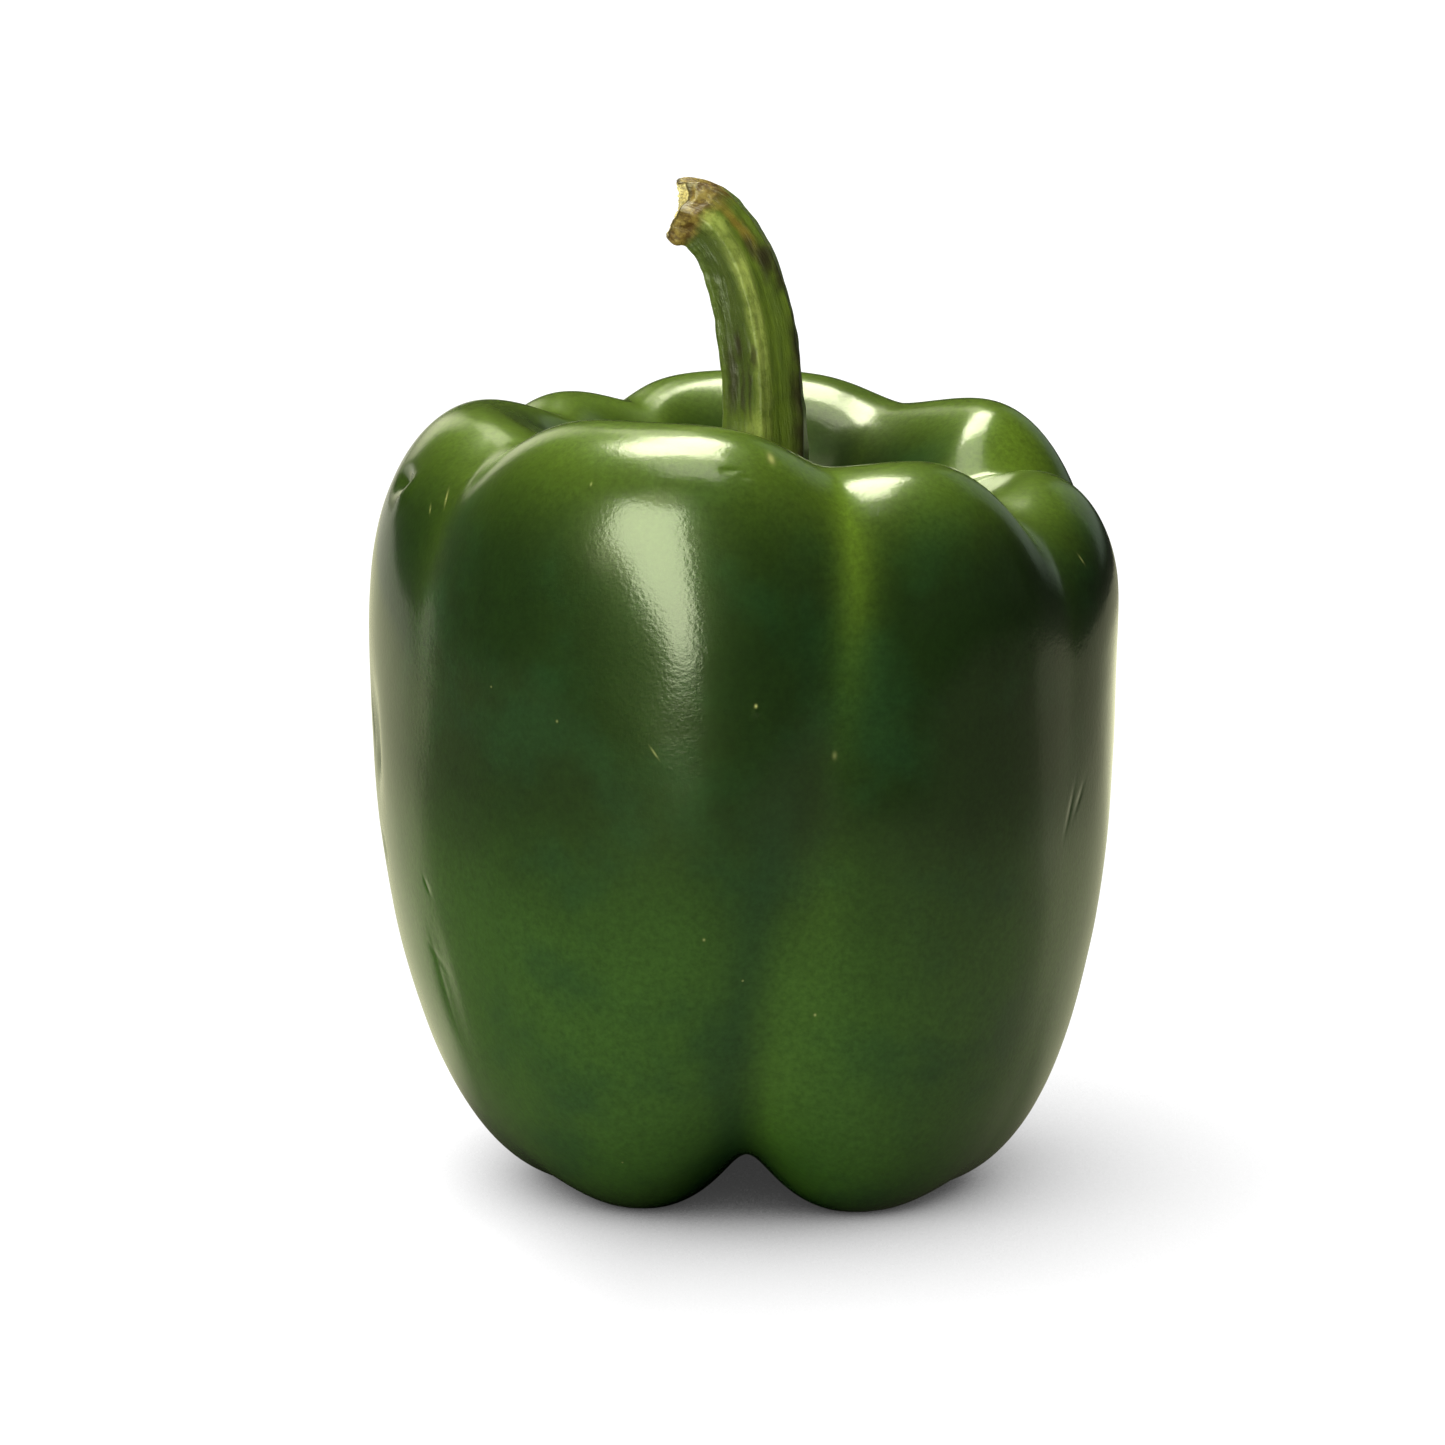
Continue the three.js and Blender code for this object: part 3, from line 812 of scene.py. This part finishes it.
def stemMaterial():
    material, tree, shader = newMaterial("stemRind")
    place = addNode(tree, "ShaderNodeTexCoord", out="Object")
    where, pith = attribute(tree, "where"), attribute(tree, "pith")
    outwards = attribute(tree, "outwards", vector=True)
    azimuth = azimuthOf(outwards * (1.0, -1.0, 0.0))
    fibres = noise(outwards + combine(0.0, 0.0, where * 1.2), stemLook["fibreSize"], 4.0, 0.6)
    mottle = noise(place, stemLook["mottleSize"], 4.0, 0.7)
    ragged = noise(place, stemLook["raggedSize"], 3.0, 0.6) - 0.5

    def patch(share, at, tall, wide, strength):
        up = bell(where + ragged * 0.08 - share, tall, 3.0)
        return up * bell(turnFrom(azimuth + ragged * 22.0, at), wide, 3.0) * strength

    green = mixColours(ramp(fibres, 0.42, 0.66) * 0.5, stemLook["olive"], stemLook["deepGreen"])
    # a pale, speckled ridge in front, partly pale rind and partly painted highlight along its glossy crest,
    # another at its foot and a narrow one beside it
    paleRidgeAndHighlight = bell(turnFrom(azimuth, 1.0 + ragged * 8.0), ramp(where, 0.55, 0.85, 12.0, 21.0), 4.0)
    paleRidgeAndHighlight = paleRidgeAndHighlight * ramp(where, 0.15, 0.5) * (1.0 - bell(where - 0.76, 0.045) * 0.5)
    paleRidgeAndHighlight = paleRidgeAndHighlight + bell(where - 0.25, 0.04) * bell(turnFrom(azimuth, ragged * 20.0 - 10.0), 14.0) * 0.7
    paleRidgeAndHighlight = paleRidgeAndHighlight + bell(turnFrom(azimuth, ragged * 6.0 - 27.0), 3.5) * ramp(where, 0.5, 0.6) * 0.5
    green = mixColours(paleRidgeAndHighlight * ramp(mottle, 0.3, 0.6, 0.3, 0.95), green, stemLook["paleGreenAndHighlight"])
    green = mixColours(ramp(mottle, 0.6, 0.8) * 0.15, green, stemLook["paleGreenAndHighlight"])
    # painted shade: deep green down the left face
    paintedShadeLeft = bell(turnFrom(azimuth, -33.0), 28.0, 4.0) * 0.85 * ramp(where, 0.25, 0.33)
    green = mixColours(paintedShadeLeft, green, stemLook["deepGreen"])
    for streak in stemLook["brownStreaks"]:
        green = mixColours(patch(*streak), green, stemLook["redBrown"])
    dark = 0.0
    for spot in stemLook["patches"]:
        dark = maths("MAXIMUM", patch(*spot), dark)
    green = mixColours(dark, green, stemLook["darkBrown"])
    # the snapped end dries to brown cork
    cork = mixColours(ramp(mottle, 0.38, 0.62), stemLook["brown"], stemLook["cork"])
    colour = mixColours(ramp(where + ragged * 0.12, *stemLook["corkFrom"]), green, cork)
    colour = mixColours(ramp(where + ragged * 0.01, 0.985, 0.995) * 0.6, colour, stemLook["darkBrown"])
    tornPith = mixColours(ramp(mottle, 0.36, 0.62), stemLook["pithShade"], stemLook["pith"])
    colour = mixColours(pith, colour, tornPith)
    tree.links.new(colour.socket, shader.inputs["Base Color"])
    shader.inputs["Roughness"].default_value = stemLook["roughness"]
    shader.inputs["IOR"].default_value = stemLook["ior"]
    shader.inputs["Coat Weight"].default_value = stemLook["coat"]
    shader.inputs["Coat Roughness"].default_value = stemLook["coatRoughness"]
    bump = addNode(tree, "ShaderNodeBump", {"Height": mottle + fibres * 2.0, "Strength": 1.0,
                                            "Distance": stemLook["fibreHeight"]})
    tree.links.new(bump.socket, shader.inputs["Normal"])
    tree.links.new(bump.socket, shader.inputs["Coat Normal"])
    return material


calyx = grow("pepper_stem", stemTree(skinPoint), {
    "Columns": stem["columns"], "Face rows": stem["faceRows"], "Stem rows": stem["stemRows"],
    "Calyx rows": stem["calyxRows"], "Edge rows": stem["edgeRows"], "Under rows": stem["underRows"],
    "Foot": stem["foot"], "Rise": stem["rise"], "Lean": stem["lean"], "Points": stem["points"],
    "Rib turn": stem["ribTurn"], "Rib twist": stem["ribTwist"], "Rib height": stem["ribHeight"],
    "Ridge height": stem["ridgeHeight"], "Gap": stem["calyxGap"], "Thickness": stem["calyxThickness"],
    "Calyx reach": stem["calyxReach"], "Point reach": stem["pointReach"], "Hollow": stem["hollow"],
    "Stem": stemMaterial()})
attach(calyx, "root")
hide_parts("stem_and_calyx")
print("stem and calyx grown")

# The studio: a white sweep that the camera sees, and the lit panels and the table that the skin mirrors.
studio = {
    "centre": (0.0, 0.0, 0.06),
    # each panel has its distance, its colour and light, how far in from its edge it comes up to full light,
    # and its corners as (azimuth, elevation) seen from the pepper
    "panels": [
        dict(name="window", away=1.2, colour=(0.93, 1.0, 0.68), light=12.5, soft=0.26,
             corners=[(-54, 47), (-18.5, 48.5), (-15, 30), (-11.5, 5), (-9.5, -10.2), (-18, -10.2),
                      (-26, -2), (-36, 7), (-46, 16), (-55, 28)]),
        dict(name="windowTop", away=1.19, colour=(0.95, 1.0, 0.68), light=4.5, soft=0.5,
             corners=[(-50, 48), (-20, 50), (-14, 26), (-50, 26)]),
        dict(name="windowHaze", away=1.25, colour=(1.0, 1.0, 0.62), light=4.0, soft=0.6,
             corners=[(-62, 46), (-38, 60), (-14, 54), (-9, 22), (-26, 0), (-54, 12)]),
        dict(name="overhead", away=1.0, colour=(1.0, 1.0, 0.74), light=17.0, soft=0.35,
             corners=[(-100, 68), (-88, 81), (60, 83), (148, 77), (156, 60), (-178, 55), (-157, 57),
                      (-132, 60)]),
        dict(name="overheadLeft", away=0.98, colour=(1.0, 1.0, 0.74), light=20.0, soft=0.4,
             corners=[(-98, 67), (-88, 79), (40, 85), (-150, 84), (-153, 60), (-128, 61)]),
        dict(name="overheadFront", away=1.02, colour=(1.0, 1.0, 0.8), light=4.2, soft=0.4,
             corners=[(-97, 66), (-46, 63), (4, 65), (24, 72), (60, 84)]),
        dict(name="backTop", away=1.1, colour=(1.0, 1.0, 0.7), light=2.0, soft=0.3,
             corners=[(-155, 57), (-179, 60), (-179, 45), (-159, 43)]),
        dict(name="backLeft", away=1.3, colour=(1.0, 1.0, 0.7), light=1.3, soft=0.8,
             corners=[(-144, -2), (-144, 54), (-168, 58), (-170, -2)]),
        dict(name="backLow", away=1.35, colour=(1.0, 1.0, 0.8), light=0.65, soft=0.12,
             corners=[(-179, -9), (-179, 2), (-150, 9), (-128, 7), (-111, -1), (-108, -9)]),
        dict(name="dimRight", away=1.4, colour=(0.8, 1.0, 0.62), light=0.07, soft=0.3,
             corners=[(25, -4), (25, 40), (50, 62), (90, 60), (112, 30), (108, -4)]),
        dict(name="backRight", away=1.3, colour=(0.8, 1.0, 0.8), light=0.28, soft=0.4,
             corners=[(165, 2), (167, 42), (126, 44), (126, 2)]),
    ],
    "dimRoom": 0.015,
    # the white sweep: radius and height from the middle outwards, and its sides around
    "sweepProfile": [
        (0.1, 0), (0.3, 0), (0.6, 0), (0.75, 0), (0.85, 0.03), (0.92, 0.1), (0.95, 0.2), (0.95, 1.2)],
    "sweepSides": 96,
    "tableEdge": -0.235,  # in front
    "tableColour": (1.0, 1.0, 0.66),
    "tableGlow": 0.16,
    "tableBounce": 1.1,
    "tableRight": 0.2,
    # the brighter sheet behind the pepper, on the left and on the right, and the brightest spot on it
    "sheetSlant": (0.31, 0.23),
    "sheetGlow": (0.62, 0.18),
    "brightSpot": (0.14, 0.32, 0.0),
    "brightReach": 0.13,
    "brightGlow": 1.0,
    "sweepLight": (0.035, 1.17),  # in the deepest shadow, and well away from it
    "shadowReach": 0.07,
    "shadowLean": (-0.7, 0.33, 0.6),  # towards the light that the shadow falls away from
    "shadowFill": 0.3,  # of the shadow on the left, by the window
    "lens": 124.57,
    "sensor": 36.0,
    "cameraPlace": (-0.00247, -0.59974, 0.160),
    "cameraDown": 9.88,  # degrees below level
}


def direction(azimuth, elevation):
    a, e = math.radians(azimuth), math.radians(elevation)
    return Vector((math.sin(a) * math.cos(e), -math.cos(a) * math.cos(e), math.sin(e)))


def meshPiece(name, points, faces, material):
    mesh = bpy.data.meshes.new(name)
    mesh.from_pydata([tuple(p) for p in points], [], faces)
    mesh.materials.append(material)
    piece = bpy.data.objects.new(name, mesh)
    bpy.context.collection.objects.link(piece)
    return piece


def glowMaterial(name, colour=(1.0, 1.0, 1.0), strength=1.0):
    material = bpy.data.materials.new(name)
    material.use_nodes = True
    tree = material.node_tree
    tree.nodes.clear()
    light = addNode(tree, "ShaderNodeEmission", {"Color": colour, "Strength": strength})
    output = tree.nodes.new("ShaderNodeOutputMaterial")
    tree.links.new(light.socket, output.inputs["Surface"])
    return material, tree, light.socket.node


def hideFrom(piece, *rays):
    for ray in rays:
        setattr(piece, "visible_" + ray, False)


def litPanel(panel):
    # its light fades towards the edge
    outer = [Vector(studio["centre"]) + direction(*corner) * panel["away"] for corner in panel["corners"]]
    middle = sum(outer, Vector()) / len(outer)
    inner = [point.lerp(middle, panel["soft"]) for point in outer]
    count = len(outer)
    faces = [(k, (k + 1) % count, count + (k + 1) % count, count + k) for k in range(count)]
    faces += [(count + k, count + (k + 1) % count, 2 * count) for k in range(count)]
    material, tree, light = glowMaterial(panel["name"] + "Light", panel["colour"])
    feed(light.inputs["Strength"], ramp(attribute(tree, "fullness"), 0.0, 1.0, 0.0, panel["light"]))
    piece = meshPiece(panel["name"], outer + inner + [middle], faces, material)
    fullness = piece.data.attributes.new("fullness", "FLOAT", "POINT")
    fullness.data.foreach_set("value", [0.0] * count + [1.0] * (count + 1))
    hideFrom(piece, "camera", "shadow")


for panel in studio["panels"]:
    litPanel(panel)

# the sweep turns up into a wall all round, and is bright except where the pepper shades it
profile, around = studio["sweepProfile"], studio["sweepSides"]
turns = [math.tau * k / around for k in range(around)]
points = [Vector((radius * math.sin(turn), radius * math.cos(turn), height))
          for radius, height in profile for turn in turns]
faces = [tuple(reversed(range(around)))]
for ring in range(len(profile) - 1):
    for k in range(around):
        a, b = ring * around + k, ring * around + (k + 1) % around
        faces.append((a, b, b + around, a + around))
sweepMaterial, tree, light = glowMaterial("whiteSweep")
unshaded = addNode(tree, "ShaderNodeAmbientOcclusion", {"Distance": studio["shadowReach"],
                                                        "Normal": studio["shadowLean"]}, out=1, samples=8)
spot = addNode(tree, "ShaderNodeTexCoord", out="Object")
fill = ramp(spot.part("X"), -0.01, -0.045) * studio["shadowFill"]
feed(light.inputs["Strength"], ramp(unshaded + fill, 0.1, 0.92, *studio["sweepLight"], smooth=False))
sweep = meshPiece("whiteSweep", points, faces, sweepMaterial)
hideFrom(sweep, "diffuse", "glossy", "transmission", "shadow")

# what the pepper itself sees of the table
west, east, front, back = -0.6, 0.6, studio["tableEdge"], 0.9
tableMaterial, tree, light = glowMaterial("tableTop", studio["tableColour"])
spot = addNode(tree, "ShaderNodeTexCoord", out="Object")
near, left = maths("LENGTH", spot), -spot.part("X")
slants, glows = studio["sheetSlant"], studio["sheetGlow"]
glow = bell(maths("DISTANCE", spot, studio["brightSpot"]), studio["brightReach"], 3.0)
glow = glow * studio["brightGlow"]
for side, slant, sheetGlow in ((left, slants[0], glows[0]), (-left, slants[1], glows[1])):
    behind = ramp(spot.part("Y") - (side - 0.042) * slant, -0.004, 0.01) * ramp(side, -0.01, 0.02)
    glow = glow + behind * ramp(near, 0.035, 0.065) * sheetGlow
beside = ramp(-left, 0.02, 0.08) * ramp(near, 0.3, 0.18) * ramp(spot.part("Y"), -0.03, 0.04, 0.4, 1.0)
glow = (glow + beside * studio["tableRight"] + studio["tableGlow"]) * ramp(near, 0.022, 0.048)
feed(light.inputs["Strength"], glow)
tableTop = meshPiece("tableTop", [(west, front, 0), (east, front, 0), (east, back, 0), (west, back, 0)],
                     [(0, 1, 2, 3)], tableMaterial)
hideFrom(tableTop, "camera", "shadow", "diffuse")

# what the table throws back on the pepper's lower half
bounceMaterial, tree, light = glowMaterial("tableBounce")
near = maths("LENGTH", addNode(tree, "ShaderNodeTexCoord", out="Object"))
feed(light.inputs["Strength"], ramp(near, 0.02, 0.06) * studio["tableBounce"])
tableBounce = meshPiece("tableBounce", [(-0.5, -0.5, 0), (0.5, -0.5, 0), (0.5, 0.5, 0), (-0.5, 0.5, 0)],
                        [(0, 1, 2, 3)], bounceMaterial)
hideFrom(tableBounce, "camera", "shadow", "glossy")

world = bpy.data.worlds.new("dimRoom")
world.use_nodes = True
world.node_tree.nodes["Background"].inputs["Color"].default_value = (studio["dimRoom"],) * 3 + (1,)
bpy.context.scene.world = world
bpy.context.scene.view_settings.view_transform = "Standard"

camera = bpy.data.objects.new("camera", bpy.data.cameras.new("camera"))
bpy.context.collection.objects.link(camera)
camera.data.lens = studio["lens"]
camera.data.sensor_width = studio["sensor"]
camera.location = studio["cameraPlace"]
camera.rotation_euler = (math.radians(90 - studio["cameraDown"]), 0.0, 0.0)
bpy.context.scene.camera = camera
print("studio set up")
